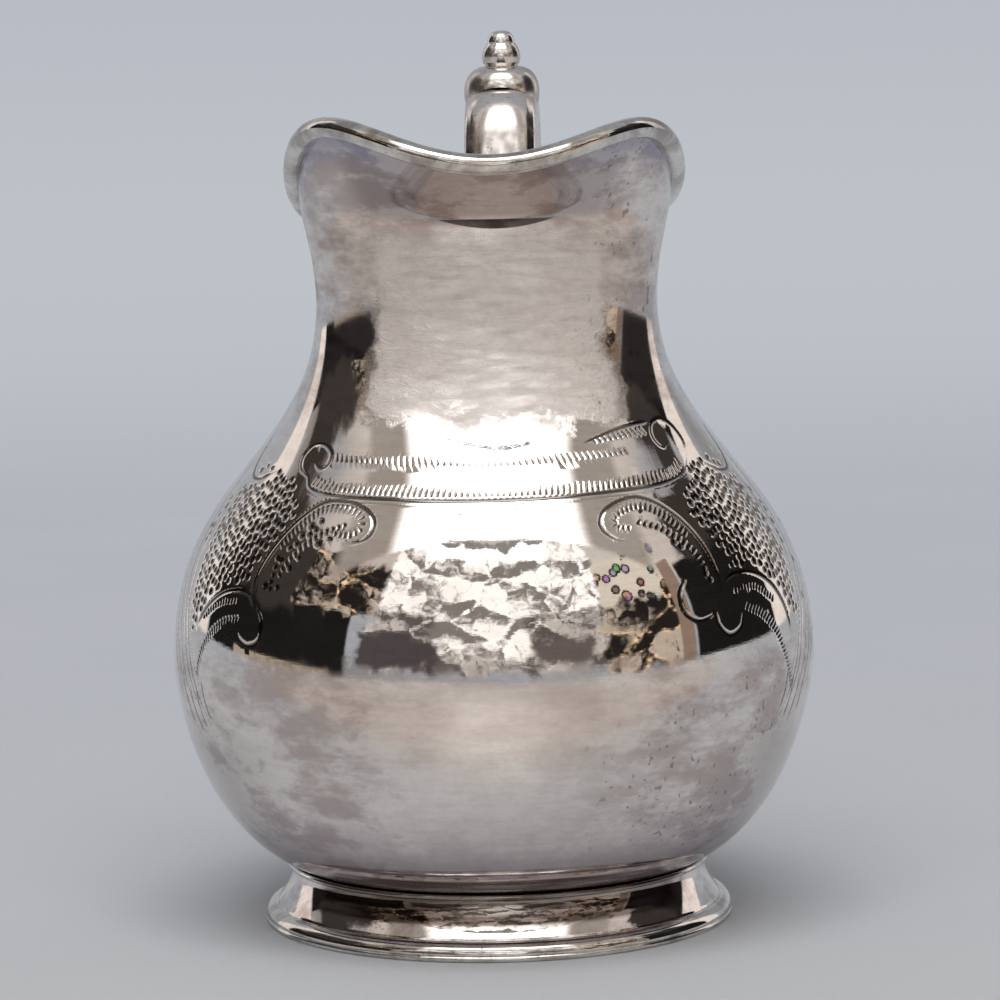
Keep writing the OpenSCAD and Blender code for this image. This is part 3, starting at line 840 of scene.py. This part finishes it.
class Graph:
    """Short calls for building a node tree."""

    def __init__(self, tree):
        self.tree = tree
        tree.nodes.clear()

    def node(self, kind, **settings):
        node = self.tree.nodes.new("ShaderNode" + kind)
        for key, value in settings.items():
            setattr(node, key, value)
        return node

    def feed(self, socket, value):
        if isinstance(value, bpy.types.NodeSocket):
            self.tree.links.new(value, socket)
        elif value is not None:
            socket.default_value = value

    def math(self, operation, a, b=None):
        node = self.node("Math", operation=operation)
        self.feed(node.inputs[0], a)
        self.feed(node.inputs[1], b)
        return node.outputs[0]

    def plus(self, a, b):
        return self.math("ADD", a, b)

    def minus(self, a, b):
        return self.math("SUBTRACT", a, b)

    def absolute(self, a):
        return self.math("ABSOLUTE", a)

    def product(self, first, *others):
        for other in others:
            first = self.math("MULTIPLY", first, other)
        return first

    def largest(self, first, *others):
        for other in others:
            first = self.math("MAXIMUM", first, other)
        return first

    def ramp(self, value, low, high, out_low=0.0, out_high=1.0):
        """Smooth step of a value from one range to another."""
        node = self.node("MapRange", interpolation_type="SMOOTHSTEP")
        for socket, item in zip(node.inputs, (value, low, high, out_low, out_high)):
            self.feed(socket, item)
        return node.outputs[0]

    def band(self, value, low, high, edge):
        """1 between low and high, falling to 0 over edge on both sides of each."""
        rise = self.ramp(value, low - edge, low + edge)
        return self.product(rise, self.ramp(value, high - edge, high + edge, 1.0, 0.0))

    def mix(self, share, a, b):
        node = self.node("Mix", data_type="RGBA")
        self.feed(node.inputs["Factor"], share)
        self.feed(node.inputs[6], a)
        self.feed(node.inputs[7], b)
        return node.outputs[2]

    def noise(self, vector, scale, detail=4.0, roughness=0.55, distortion=0.0, output="Fac"):
        node = self.node("TexNoise")
        self.feed(node.inputs["Vector"], vector)
        node.inputs["Scale"].default_value = scale
        node.inputs["Detail"].default_value = detail
        node.inputs["Roughness"].default_value = roughness
        node.inputs["Distortion"].default_value = distortion
        return node.outputs[output]

    def cells(self, vector, scale, feature="F1"):
        """All outputs of a Voronoi pattern."""
        node = self.node("TexVoronoi", feature=feature)
        self.feed(node.inputs["Vector"], vector)
        node.inputs["Scale"].default_value = scale
        return node.outputs

    def vector(self, operation, a, b=None, output="Vector"):
        node = self.node("VectorMath", operation=operation)
        self.feed(node.inputs[0], a)
        self.feed(node.inputs[1], b)
        return node.outputs[output]

    def split(self, vector):
        node = self.node("SeparateXYZ")
        self.feed(node.inputs[0], vector)
        return node.outputs

    def bearing(self, x, y):
        """Degrees round the jug from the lip."""
        return self.math("DEGREES", self.math("ARCTAN2", x, self.product(y, -1.0)))

    def bump(self, height, strength, distance, under=None):
        node = self.node("Bump")
        node.inputs["Strength"].default_value = strength
        node.inputs["Distance"].default_value = distance
        self.feed(node.inputs["Height"], height)
        self.feed(node.inputs["Normal"], under)
        return node.outputs[0]


def rgb(r, g, b):
    return (r, g, b, 1.0)


def new_material(name):
    """A material with an empty graph, and the piece's own coordinates in it."""
    material = bpy.data.materials.new(name)
    material.use_nodes = True
    g = Graph(material.node_tree)
    return material, g, g.node("TexCoord").outputs["Object"]


STREAK_TINT = rgb(0.36, 0.30, 0.28)
GRAIN_TINT = rgb(0.40, 0.34, 0.32)
# Near-black of patina in cuts and pits, also laid on as painted dark reflection under the rim wire and below
# the lip.
GRIME_AND_PAINTED_DARK = rgb(0.055, 0.045, 0.038)
# Painted dark brown: the reflection in the foot's hollow and the shade at the joint under the bowl.
PAINTED_HOLLOW_DARK = rgb(0.105, 0.075, 0.058)
HOLLOW_HALF_SPREAD = math.degrees(1.0)
HOLLOW_EDGE = math.degrees(0.08)
SCRATCH_DEEP = 0.00005
DINT_DEEP = 0.0005


def silver_surface(g, where, clean_and_painted_highlight, tarnish_and_painted_dark, film_and_painted_shade, haze, grime_and_painted_dark, dints=None):
    """Joins up old silver: film 0-1 is how much tarnish colours it, haze how far it blurs. Film and grime
    also lay on painted shade and painted reflections.
    """
    streak = g.noise(g.vector("MULTIPLY", where, (160, 160, 1300)), 1.0, 4, 0.6)
    fine = g.noise(where, 900, 4, 0.7)
    colour = g.mix(film_and_painted_shade, clean_and_painted_highlight, tarnish_and_painted_dark)
    colour = g.mix(g.ramp(streak, 0.4, 0.75, 0.0, 0.16), colour, STREAK_TINT)
    colour = g.mix(g.ramp(fine, 0.35, 0.75, 0.0, 0.13), colour, GRAIN_TINT)
    colour = g.mix(grime_and_painted_dark, colour, GRIME_AND_PAINTED_DARK)
    shader = g.node("BsdfPrincipled")
    g.feed(shader.inputs["Base Color"], colour)
    g.feed(shader.inputs["Metallic"], g.ramp(film_and_painted_shade, 0.0, 1.0, 1.0, 0.955))
    g.feed(shader.inputs["Roughness"], haze)
    scratch = g.noise(g.vector("MULTIPLY", where, (500, 500, 2600)), 1.0, 3, 0.6)
    normal = g.bump(scratch, 0.05, SCRATCH_DEEP)
    if dints is not None:
        normal = g.bump(dints, 0.9, DINT_DEEP, normal)
    g.feed(shader.inputs["Normal"], normal)
    g.feed(g.node("OutputMaterial").inputs["Surface"], shader.outputs[0])


def plain_silver(name, clean_and_painted_highlight, tarnish_and_painted_dark, haze_low, haze_high, painted_dark_z=None):
    """Old silver plate for the fittings: bright, with patches of brownish film.

    The last argument gives heights, in millimetres from and to, where the front is painted dark brown: a
    painted reflection in the foot's hollow and painted shade at the joint under the bowl.
    """
    material, g, where = new_material(name)
    film_and_painted_shade = g.ramp(g.noise(where, 150, 6, 0.65, 0.3), 0.42, 0.68)
    pits = g.ramp(g.noise(where, 1500, 2, 0.5), 0.66, 0.74, 0.0, 0.5)
    haze = g.ramp(film_and_painted_shade, 0.0, 1.0, haze_low, haze_high)
    if painted_dark_z:
        # Front only, painted dark brown: a painted reflection in the foot's hollow and painted shade at the
        # joint under the bowl.
        x, y, z = g.split(where)
        painted_dark_breakup = g.noise(g.vector("MULTIPLY", where, (60, 60, 700)), 1.0, 4, 0.6)
        painted_hollow_dark = g.product(g.band(z, painted_dark_z[0] * MM, painted_dark_z[1] * MM, 0.35 * MM),
                           g.ramp(painted_dark_breakup, 0.40, 0.66, 1.0, 0.7),
                           g.band(g.bearing(x, y), -HOLLOW_HALF_SPREAD, HOLLOW_HALF_SPREAD, HOLLOW_EDGE))
        tarnish_and_painted_dark = g.mix(painted_hollow_dark, tarnish_and_painted_dark, PAINTED_HOLLOW_DARK)
        film_and_painted_shade = g.largest(film_and_painted_shade, painted_hollow_dark)
    silver_surface(g, where, clean_and_painted_highlight, tarnish_and_painted_dark, film_and_painted_shade, haze, pits)
    return material


LENS_X = 0.0014         # middle of the painted dark reflection under the lip, its half width, top and depth
LENS_HALF = 0.0077
LENS_TOP = 0.0991
LENS_DEEP = 0.0013


def painted_lens_reflection(g, x, y, z):
    """A painted dark reflection below the lip, shaped like a lens."""
    from_middle = g.absolute(g.minus(x, LENS_X))
    lens = g.minus(1.0, g.math("POWER", g.math("DIVIDE", from_middle, LENS_HALF), 2.0))
    below = g.math("DIVIDE", g.minus(LENS_TOP, z), LENS_DEEP)
    return g.product(g.ramp(below, -0.06, 0.06), g.ramp(g.minus(lens, below), -0.1, 0.05),
                     g.ramp(y, 0.0, -0.01))


def body_silver():
    """The body's silver: clear round the belly, hazy in front of the neck, mottled below, with painted light
    on its front and painted dark reflections under the rim wire and below the lip.
    """
    material, g, where = new_material("body_silver")
    x, y, z = g.split(where)
    around = g.bearing(x, y)
    beside_lip = g.absolute(around)
    ragged = g.minus(g.noise(where, 260, 5, 0.65), 0.5)
    broad = g.noise(g.vector("MULTIPLY", where, (1.0, 1.0, 1.5)), 60, 4, 0.6, 0.2)
    blotch = g.noise(g.vector("MULTIPLY", where, (1.0, 1.0, 2.2)), 150, 7, 0.68, 0.15)
    mottle = g.plus(g.product(broad, 0.5), g.product(blotch, 0.5))
    # This depth also carries the painted dark reflection under the rim wire.
    depth = g.node("Attribute", attribute_name="cut_depth_and_painted_dark").outputs["Fac"]
    rim_gap = g.node("Attribute", attribute_name="rim_gap").outputs["Fac"]

    # Zones, each 0 to 1. The front of the neck and the middle of the lower belly are painted lighter, a
    # painted reflection of the bright things in front of the jug; the other zones tint the colour darker
    # below the lip, low on the sides, near the rim wire and near the foot.
    height = g.plus(z, g.product(ragged, 0.010))
    low = g.ramp(height, 0.043, 0.040)
    high = g.ramp(height, 0.0710, 0.0745)
    zone = g.largest(low, high)
    front = g.band(g.plus(around, g.product(ragged, 14.0)), -36.0, 38.0, 3.0)
    beside = g.product(g.band(around, -85.0, 85.0, 12.0), g.ramp(height, 0.086, 0.0905))
    tongue = g.product(g.ramp(z, 0.0978, 0.1), g.band(around, -40.0, 40.0, 5.0))
    flank = g.product(g.ramp(height, 0.036, 0.026), g.ramp(beside_lip, 35, 62))
    cool = g.product(g.ramp(rim_gap, 7.5, 0.8), g.ramp(beside_lip, 14, 34))
    bottom = g.ramp(height, 0.026, 0.012)
    # The front of the neck, and its middle most of all, is painted lighter: a painted reflection of the
    # bright things in front.
    pale = g.product(front, high, g.ramp(z, 0.0985, 0.0955))
    centre = g.band(around, -16.0, 22.0, 12.0)

    tarnish_and_painted_dark = g.mix(tongue, rgb(0.57, 0.495, 0.465), rgb(0.36, 0.295, 0.28))
    for share, colour in ((flank, rgb(0.40, 0.355, 0.345)), (cool, rgb(0.33, 0.305, 0.39)),
                          (bottom, rgb(0.42, 0.36, 0.39))):
        tarnish_and_painted_dark = g.mix(share, tarnish_and_painted_dark, colour)
    thin_film = g.product(g.ramp(mottle, 0.40, 0.60), g.ramp(zone, 0.0, 1.0, 0.25, 1.0))
    # Less film on the front of the neck and in the middle of the lower belly, so that they show lighter:
    # painted light.
    film_and_painted_shade = g.product(thin_film, g.minus(1.0, g.product(pale, 0.9)), g.minus(1.0, g.product(centre, low, 0.5)))
    film_and_painted_shade = g.largest(film_and_painted_shade, g.product(g.largest(cool, bottom), 0.8), g.product(g.largest(tongue, flank), 0.65))

    haze = g.product(g.largest(g.product(front, high), g.product(beside, 0.8)),
                     g.ramp(height, 0.0995, 0.0955), g.ramp(blotch, 0.3, 0.6, 0.75, 1.0))
    haze = g.plus(g.ramp(thin_film, 0.0, 1.0, 0.02, 0.10), g.product(haze, 0.56))
    pitted = g.product(g.ramp(x, 0.008, 0.018), zone, g.ramp(broad, 0.42, 0.55))
    pits = g.noise(g.vector("MULTIPLY", where, (1.4, 1.4, 1.0)), 900, 1, 0.4)
    # Near-black: patina in the engraved cuts and pits, a painted dark reflection under the rim wire and a
    # painted dark reflection below the lip.
    grime_and_painted_dark = g.largest(g.ramp(depth, 0.012, 0.08, 0.0, 0.85),
                      g.product(g.ramp(pits, 0.66, 0.72, 0.0, 0.5), pitted),
                      g.product(painted_lens_reflection(g, x, y, z), g.ramp(blotch, 0.3, 0.6, 1.0, 0.85)))
    crease = g.noise(g.vector("MULTIPLY", where, (300, 300, 760)), 1.0, 6, 0.7, 0.5)
    dints = g.product(g.absolute(g.minus(crease, 0.5)), pale)
    # Brighter silver in the middle of the neck's front: a painted highlight.
    clean_and_painted_highlight = g.mix(g.product(pale, centre), rgb(0.90, 0.855, 0.82), rgb(0.99, 0.955, 0.93))
    silver_surface(g, where, clean_and_painted_highlight, tarnish_and_painted_dark, film_and_painted_shade, haze, grime_and_painted_dark, dints)
    return material


# ---------------------------------------------------------------- studio

class Sky:
    """The light round the jug as cards laid over one another, by direction."""

    def __init__(self, g):
        self.g = g
        x, y, z = g.split(g.node("TexCoord").outputs["Generated"])
        self.around = g.bearing(x, y)
        self.up = g.math("DEGREES", g.math("ARCSINE", z))
        above = g.largest(z, 0.02)
        self.side = g.math("DIVIDE", x, above)
        self.ahead = g.math("DIVIDE", g.product(y, -1.0), above)
        chart = g.node("CombineXYZ")
        g.feed(chart.inputs[0], self.around)
        g.feed(chart.inputs[1], self.up)
        self.chart = chart.outputs[0]
        wobble = g.product(g.minus(g.noise(self.chart, 0.11, 4), 0.5), 14.0)
        self.wavy_up = g.plus(self.up, wobble)
        self.wavy_around = g.plus(self.around, wobble)
        self.light = None

    def card(self, colour, left, right, low, high, edge=0.7, wavy=False):
        """A card between two bearings and two heights, in degrees."""
        g = self.g
        mask = g.product(g.band(self.wavy_around if wavy else self.around, left, right, edge),
                         g.band(self.wavy_up if wavy else self.up, low, high, edge))
        self.light = g.mix(mask, self.light, colour)

    def overhead(self, colour, left, right, near, far, edge_side, edge_ahead):
        """A level panel overhead, measured as offsets per unit of height."""
        g = self.g
        spread = g.math("DIVIDE", self.side, g.plus(g.product(self.ahead, 1.2), 0.3))
        mask = g.product(g.band(spread, left, right, edge_side), g.band(self.ahead, near, far, edge_ahead),
                         g.ramp(self.up, 8, 16))
        self.light = g.mix(mask, self.light, colour)

    def facets(self, at, scale):
        """Flat facets: a tone that runs across each one its own way, and the lines between them."""
        g = self.g
        cell = g.cells(at, scale)
        inside = g.vector("SUBTRACT", at, cell["Position"])
        slope = g.vector("SUBTRACT", cell["Color"], (0.5, 0.5, 0.5))
        run = g.vector("DOT_PRODUCT", inside, slope, "Value")
        tone = g.plus(g.split(cell["Color"])[2], g.product(run, 2.2 * scale))
        return tone, g.ramp(g.cells(at, scale, "DISTANCE_TO_EDGE")["Distance"], 0.035, 0.008)

    def creased(self, seed, dark, pale, share, crease):
        """Crumpled foil: facets between dark and pale with thin creases."""
        g = self.g
        bend = g.noise(self.chart, 0.07, 2.0, 0.5, 0.0, "Color")
        pull = g.vector("ADD", g.vector("MULTIPLY", bend, (7.0, 7.0, 0.0)), (seed, 0.37 * seed, 0.0))
        shift = g.vector("ADD", self.chart, pull)
        leaning = g.node("Mapping")
        g.feed(leaning.inputs["Vector"], shift)
        leaning.inputs["Rotation"].default_value = (0.0, 0.0, 0.5)
        leaning.inputs["Scale"].default_value = (0.55, 1.25, 1.0)
        tone, folds = self.facets(leaning.outputs[0], 0.07)
        small_tone, small_folds = self.facets(shift, 0.17)
        grain = g.noise(leaning.outputs[0], 0.45, 5, 0.7, 0.8)
        shade = g.plus(g.plus(g.product(tone, 0.5), g.product(small_tone, 0.25)),
                       g.product(g.ramp(grain, 0.35, 0.65), 0.25))
        foil = g.mix(g.ramp(shade, share - 0.15, share + 0.15), dark, pale)
        foil = g.mix(g.product(small_folds, g.ramp(grain, 0.48, 0.6)), foil, dark)
        return g.mix(g.product(folds, g.ramp(grain, 0.55, 0.42)), foil, crease)

    def beads(self, low, high):
        """Small round spots of mixed colours, like a printed pattern."""
        g = self.g
        cell = g.cells(self.chart, 0.21)
        colour = g.mix(0.55, cell["Color"], rgb(0.28, 0.22, 0.20))
        inner = g.mix(g.ramp(cell["Distance"], 0.30, 0.24), rgb(0.03, 0.025, 0.02), colour)
        return g.mix(g.ramp(cell["Distance"], low, high), inner, rgb(0.75, 0.68, 0.58))


ROOM = rgb(0.42, 0.445, 0.48)
NIGHT = rgb(0.012, 0.011, 0.011)
DIM_ROOM = rgb(0.045, 0.038, 0.034)
EDGE_WHITE = rgb(0.92, 0.84, 0.78)
SOFTBOX = rgb(4.7, 4.6, 4.5)


def hang_cards(sky):
    """Everything that stands round the jug: paper and foil in front, dark and white cards beside."""
    paper = sky.creased(3.0, rgb(0.26, 0.235, 0.22), rgb(1.3, 1.25, 1.2), 0.44, rgb(1.7, 1.65, 1.6))
    dim = sky.creased(17.0, rgb(0.13, 0.11, 0.105), rgb(0.62, 0.57, 0.53), 0.5, rgb(1.0, 0.95, 0.9))
    foil = sky.creased(31.0, rgb(0.018, 0.015, 0.013), rgb(0.58, 0.49, 0.40), 0.60, rgb(1.1, 0.8, 0.5))

    sky.card(rgb(0.30, 0.27, 0.25), -122, -70, 8, 39, 2.0, True)
    sky.card(NIGHT, -124, -54, -4, 21, 0.6)
    sky.card(DIM_ROOM, -117, -78, 15, 38, 2.5, True)
    sky.card(rgb(0.46, 0.40, 0.31), -106, -60, -4, 0.6, 0.35)
    sky.card(foil, -80, -40, 20, 41, 1.2, True)
    sky.card(dim, -46, 46, 2, 30, 1.2, True)
    sky.card(rgb(0.085, 0.07, 0.075), -50, -20, 3.0, 15, 1.5, True)
    sky.card(paper, -44, 42, 24, 54, 1.5, True)
    sky.card(paper, -22, 12, 8, 28, 1.8, True)
    sky.card(rgb(0.15, 0.125, 0.12), 14, 36, 5, 14, 1.8, True)
    sky.card(foil, 40, 72, -1, 26, 1.0, True)
    sky.card(sky.beads(0.40, 0.45), 42, 72, 24, 42, 1.5, True)
    sky.card(rgb(0.30, 0.22, 0.17), 70, 76, -3, 33, 0.5)
    sky.card(NIGHT, 77, 121, -4, 30, 0.6)
    sky.card(DIM_ROOM, 84, 116, 27, 42, 2.0, True)
    sky.card(rgb(0.29, 0.295, 0.31), 138, 172, 10, 50, 5.0)
    sky.card(EDGE_WHITE, -138, -125, -5, 46, 0.8)
    sky.card(EDGE_WHITE, 121, 135, -5, 42, 0.8)
    sky.card(rgb(1.9, 1.85, 1.8), -40, 26, 49.0, 54.5, 0.7, True)
    sky.card(rgb(0.30, 0.29, 0.28), -48, 42, 54, 56.4, 0.4, True)
    sky.overhead(rgb(0.39, 0.35, 0.315), -1.5, 1.5, 0.08, 0.62, 0.2, 0.04)
    sky.overhead(SOFTBOX, -0.58, 0.52, 0.12, 0.632, 0.18, 0.012)
    sky.overhead(rgb(0.15, 0.17, 0.25), -0.33, 0.30, 0.437, 0.452, 0.05, 0.003)
    sky.overhead(rgb(0.26, 0.28, 0.35), -0.35, 0.2, 0.376, 0.390, 0.08, 0.003)


def build_world():
    """Soft studio light: a pale box overhead, white and dark cards and crumpled foil in front."""
    world = bpy.data.worlds.new("studio")
    bpy.context.scene.world = world
    world.use_nodes = True
    g = Graph(world.node_tree)
    sky = Sky(g)
    room = g.mix(g.ramp(sky.up, 10, 60), ROOM, rgb(0.46, 0.44, 0.42))
    behind_ceiling = g.product(g.band(sky.ahead, -1.3, 0.04, 0.08), g.ramp(sky.up, 25, 45))
    room = g.mix(behind_ceiling, room, rgb(0.34, 0.35, 0.37))
    front = g.product(g.band(sky.around, -90, 90, 14), g.ramp(sky.up, 18, 30))
    sky.light = g.mix(front, room, rgb(0.66, 0.60, 0.55))
    hang_cards(sky)
    table = g.mix(g.ramp(g.absolute(sky.around), 40, 130), rgb(0.58, 0.545, 0.52), ROOM)
    light = g.mix(g.ramp(sky.up, -0.6, -1.6), sky.light, table)
    backdrop = g.mix(g.ramp(sky.up, -8.6, -4.6), rgb(0.41, 0.435, 0.48), rgb(0.50, 0.53, 0.575))
    backdrop = g.mix(g.ramp(sky.up, -5.0, -3.5), backdrop, rgb(0.51, 0.54, 0.575))
    backdrop = g.mix(g.ramp(sky.up, -3.2, 0.5), backdrop, rgb(0.475, 0.50, 0.555))
    seen = g.node("LightPath").outputs["Is Camera Ray"]
    shader = g.node("Background")
    g.feed(shader.inputs["Color"], g.mix(seen, light, backdrop))
    g.feed(g.node("OutputWorld").inputs["Surface"], shader.outputs[0])


FLOOR_RINGS = (0.5, 50, 100, 200, 400, 800, 1400, 2200, 3200)
FLOOR_COLUMNS = 96


def floor_cloth():
    """Pale cloth with painted pools of warm light in front of the jug, that fades to nothing far out."""
    material, g, where = new_material("pale_floor")
    x, y, _ = g.split(where)
    cloth = g.noise(where, 900, 3)
    tint = g.mix(g.ramp(y, -0.06, 0.3), rgb(0.595, 0.63, 0.67), rgb(0.565, 0.605, 0.675))
    tint = g.mix(g.ramp(g.noise(where, 9, 3), 0.4, 0.65, 0.0, 0.25), tint, rgb(0.65, 0.68, 0.725))
    # Painted pools of warm light: a strong one straight ahead of the jug and a weaker one to its right.
    bearing = g.bearing(x, y)
    lit = g.plus(g.band(bearing, -13, 13, 12), g.product(g.band(bearing, 52, 66, 10), 0.35))
    painted_light_pool = g.mix(g.math("MINIMUM", lit, 1.0), rgb(0.66, 0.61, 0.58), rgb(1.0, 0.96, 0.93))
    tint = g.mix(g.ramp(y, -0.055, -0.10), tint, painted_light_pool)
    tint = g.mix(g.product(cloth, 0.2), tint, rgb(0.46, 0.475, 0.50))
    shader = g.node("BsdfPrincipled")
    g.feed(shader.inputs["Base Color"], tint)
    shader.inputs["Roughness"].default_value = 0.75
    shader.inputs["Specular IOR Level"].default_value = 0.2
    g.feed(shader.inputs["Normal"], g.bump(cloth, 0.25, 0.0003))
    far_out = g.ramp(g.vector("LENGTH", where, None, "Value"), 0.2, 1.0)
    fade = g.node("MixShader")
    g.feed(fade.inputs[0], far_out)
    g.feed(fade.inputs[1], shader.outputs[0])
    g.feed(fade.inputs[2], g.node("BsdfTransparent").outputs[0])
    g.feed(g.node("OutputMaterial").inputs["Surface"], fade.outputs[0])
    return material


def build_floor():
    """A wide pale floor that fades into the backdrop."""
    points = lathe_grid([(r, 0.0) for r in FLOOR_RINGS], FLOOR_COLUMNS)
    faces = grid_faces(len(FLOOR_RINGS), FLOOR_COLUMNS)
    faces.append(list(range(FLOOR_COLUMNS))[::-1])
    floor = new_object("floor", points.reshape(-1, 3), faces, floor_cloth())


LENS_MM = 155.5
SENSOR_MM = 36.0
EYE = (0.0, -0.600, 0.1304)
PITCH_DOWN = math.radians(6.83)
YAW = -0.0021
ROLL = -0.02


def build_camera():
    """The photograph's view: from the front, a little above the jug, with a long lens."""
    data = bpy.data.cameras.new("camera")
    data.sensor_width = SENSOR_MM
    data.lens = LENS_MM
    camera = bpy.data.objects.new("camera", data)
    bpy.context.scene.collection.objects.link(camera)
    camera.location = EYE
    aim = Euler((math.pi / 2 - PITCH_DOWN, 0, YAW)).to_matrix() @ Euler((0, 0, ROLL)).to_matrix()
    camera.rotation_euler = aim.to_euler()
    data.clip_end = 50
    bpy.context.scene.camera = camera


# ---------------------------------------------------------------- put together

bpy.context.scene.view_settings.view_transform = "Standard"
build_camera()
build_world()
build_floor()

# The wire's dark band at 7.3-8.8 mm is painted shade at the seam under the bowl; the foot's at 4.3-7.9 mm is
# a painted reflection in its hollow.
wire_silver = plain_silver("wire_silver", rgb(0.82, 0.80, 0.76), rgb(0.42, 0.38, 0.35), 0.03, 0.10,
                           (7.3, 8.8))
foot_silver = plain_silver("foot_silver", rgb(0.86, 0.82, 0.79), rgb(0.52, 0.44, 0.41), 0.02, 0.07,
                           (4.3, 7.9))
handle_silver = plain_silver("handle_silver", rgb(0.90, 0.86, 0.84), rgb(0.66, 0.57, 0.57), 0.17, 0.30)
bud_silver = plain_silver("bud_silver", rgb(0.90, 0.87, 0.84), rgb(0.60, 0.53, 0.50), 0.17, 0.30)

build_body(body_silver())
build_rim_wire(wire_silver)
build_foot(foot_silver)
build_foot_wire(wire_silver)
build_seam_ring(wire_silver)
build_handle_half("handle_left", "handle_left_half", -1, handle_silver)
build_handle_half("handle_right", "handle_right_half", 1, handle_silver)
build_upper_mount(handle_silver)
build_lower_mount(handle_silver)
build_tail(handle_silver)
build_cap(bud_silver)
build_finial(bud_silver)
